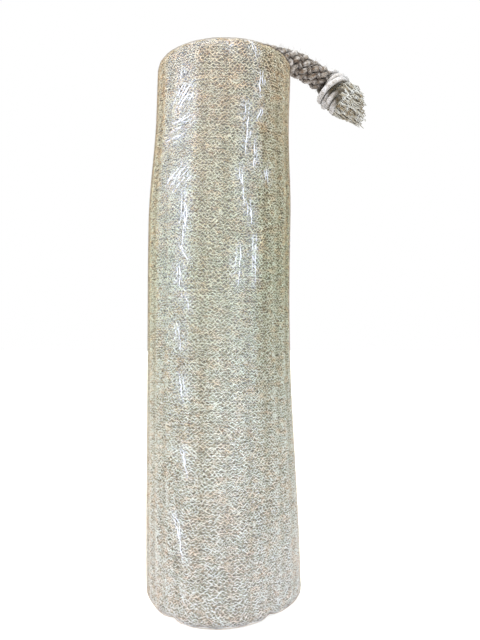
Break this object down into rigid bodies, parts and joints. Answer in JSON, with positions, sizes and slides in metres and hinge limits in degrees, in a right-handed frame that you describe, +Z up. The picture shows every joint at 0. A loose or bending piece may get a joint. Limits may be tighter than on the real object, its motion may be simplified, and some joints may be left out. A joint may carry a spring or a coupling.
{
  "type": "natural loofah sponge",
  "caption": "Whole natural loofah cut square at both ends, wrapped in clear shrink film, with a thick braided cotton rope, bound knot and frayed tassel out of its top.",
  "frame": {"origin": "middle of the wrapped sponge's outline, on the surface that it stands on", "axes": "+Z up along the sponge from foot to roped top, front towards -Y"},
  "size_m": [0.1282, 0.0996, 0.2992],
  "materials": {
    "loofah_fibre": "dry matte plant fibre",
    "shrink_film": "clear and glossy, with fine creases",
    "braided_cotton": "undyed braided cotton",
    "cotton_bundle": "undyed smooth cotton bundle",
    "frayed_cotton": "undyed loose cotton fibre"
  },
  "bodies": {
    "root": {"loofah": "loofah_fibre", "film_sleeve": "shrink_film", "rope": "braided_cotton", "rope_knot": "cotton_bundle", "rope_tassel": "frayed_cotton", "rope_stopper": "braided_cotton"}
  },
  "joints": []
}
